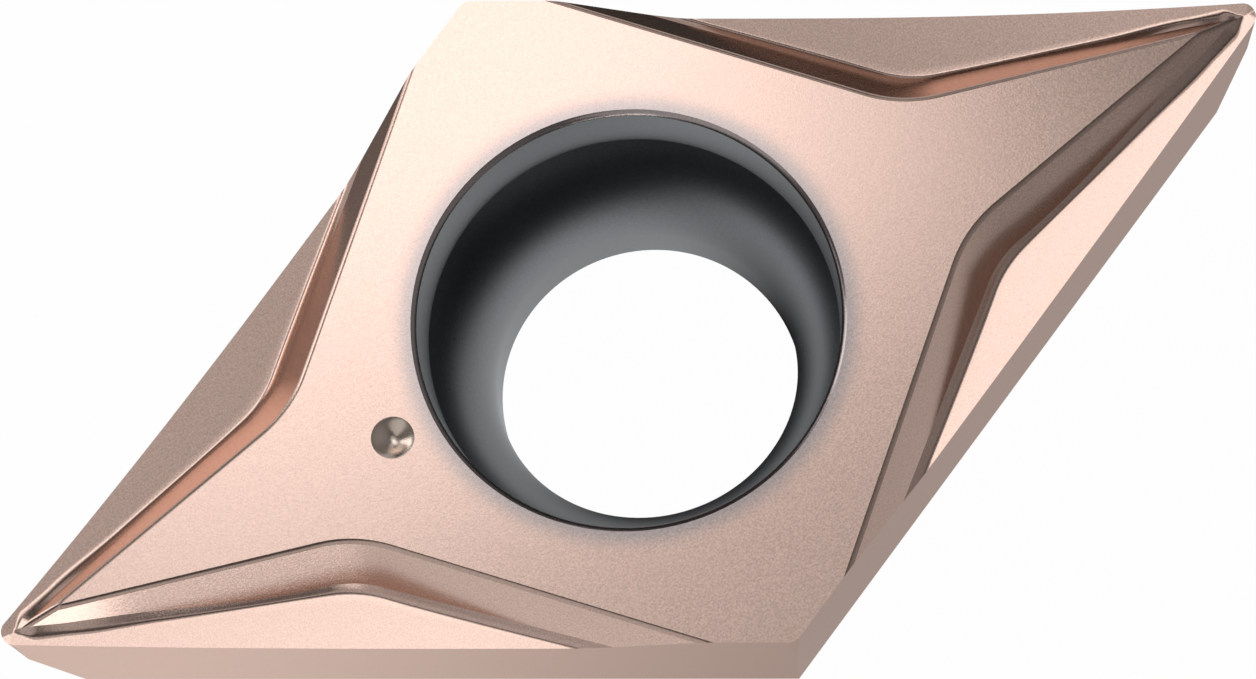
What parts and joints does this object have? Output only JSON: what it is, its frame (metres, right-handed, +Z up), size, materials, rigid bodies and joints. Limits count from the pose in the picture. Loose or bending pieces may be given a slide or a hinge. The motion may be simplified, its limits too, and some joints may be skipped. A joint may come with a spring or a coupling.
{
  "type": "carbide turning insert",
  "caption": "Rhombic turning insert with relieved flanks, a raised land, a chip groove along each cutting edge and a countersunk screw hole.",
  "frame": {"origin": "on the screw hole's axis, in the seat face that the insert rests on", "axes": "+Z up along the screw hole out of the chip-groove side, +X along the long diagonal to the cutting corner opposite the index dimple, +Y along the short diagonal"},
  "size_m": [0.0202, 0.0108, 0.0042],
  "materials": {
    "coated_carbide": "fine matt rose-bronze coating on cemented carbide, darker uncoated look inside the screw hole"
  },
  "bodies": {
    "root": {"insert": "coated_carbide"}
  },
  "joints": []
}
